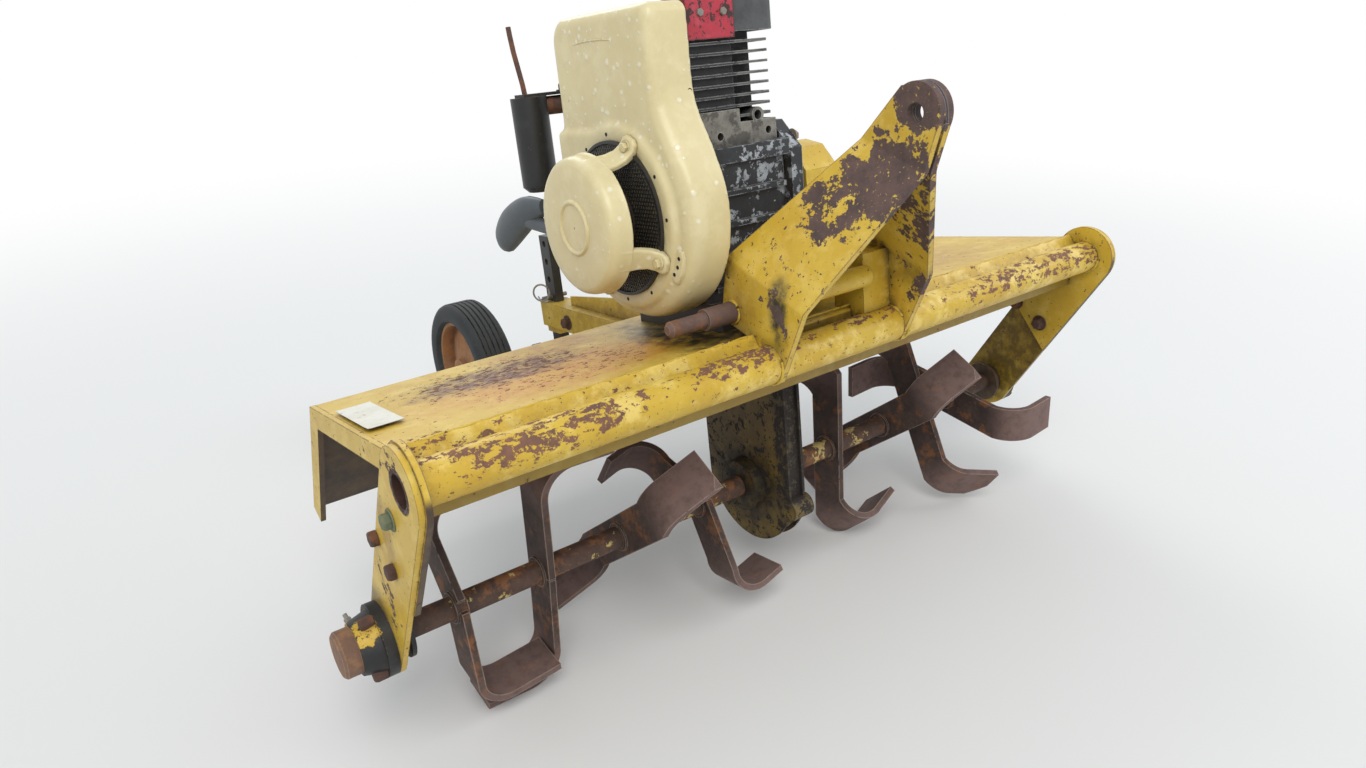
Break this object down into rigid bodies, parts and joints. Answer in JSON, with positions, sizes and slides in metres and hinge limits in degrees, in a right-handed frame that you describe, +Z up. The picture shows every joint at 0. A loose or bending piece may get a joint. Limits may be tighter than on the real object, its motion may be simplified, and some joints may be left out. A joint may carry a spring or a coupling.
{
  "type": "rotary tiller",
  "caption": "Self-powered garden tractor rotary tiller: upright engine on a yellow hood, folded mast with hitch pins, tined rotor between end arms, and a gauge wheel on a drilled post.",
  "frame": {"origin": "on the ground under the middle of the machine's overall length, width and height box", "axes": "+X to the right seen from the tractor, along the rotor; +Y to the rear, away from the tractor; +Z up"},
  "size_m": [1.1728, 1.0438, 0.788],
  "materials": {
    "yellow_paint": "worn gloss",
    "cream_paint": "satin",
    "black_paint": "satin",
    "red_paint": "worn",
    "rusty_steel": "rough",
    "grey_alloy": "rough cast",
    "tyre": "matte",
    "grip": "matte"
  },
  "bodies": {
    "frame": {"arm_left": "yellow_paint", "arm_right": "yellow_paint", "bearing_cap_left": "rusty_steel", "bearing_cap_right": "rusty_steel", "bearing_left": "black_paint", "bearing_plate": "black_paint", "bearing_right": "black_paint", "belt_guard": "yellow_paint", "blower_housing": "cream_paint", "chain_case": "yellow_paint", "crankcase": "black_paint", "cylinder": "grey_alloy", "cylinder_head": "grey_alloy", "engine_base": "black_paint", "exhaust_can": "black_paint", "exhaust_pipe": "rusty_steel", "head_shroud": "red_paint", "hitch_pin_left": "rusty_steel", "hitch_pin_right": "rusty_steel", "hood_end_left": "yellow_paint", "hood_end_right": "yellow_paint", "hood_sheet": "yellow_paint", "main_tube": "yellow_paint", "mast_bracket": "yellow_paint", "mast_cross_tube": "yellow_paint", "mast_plate_left": "yellow_paint", "mast_plate_right": "yellow_paint", "mast_spacer": "rusty_steel", "post_socket": "yellow_paint", "pull_handle": "grip", "starter_cup": "cream_paint", "starter_screen": "black_paint", "tail_beam": "yellow_paint"},
    "rotor": {"rotor_shaft": "rusty_steel", "tines_left": "rusty_steel", "tines_right": "rusty_steel"},
    "post": {"depth_post": "black_paint"},
    "wheel": {"tyre": "tyre", "wheel_rim": "rusty_steel"}
  },
  "joints": [
    {"name": "rotor_spin", "type": "hinge", "parent": "frame", "child": "rotor", "pos_m": [0, -0.25869, 0.15442], "axis": [1, 0, 0], "continuous": true},
    {"name": "depth_slide", "type": "slide", "parent": "frame", "child": "post", "axis": [0, 0.1392, 0.9903], "range_m": [-0.064, 0.032]},
    {"name": "wheel_spin", "type": "hinge", "parent": "post", "child": "wheel", "pos_m": [-0.123, 0.39486, 0.127], "axis": [1, 0, 0], "continuous": true}
  ]
}
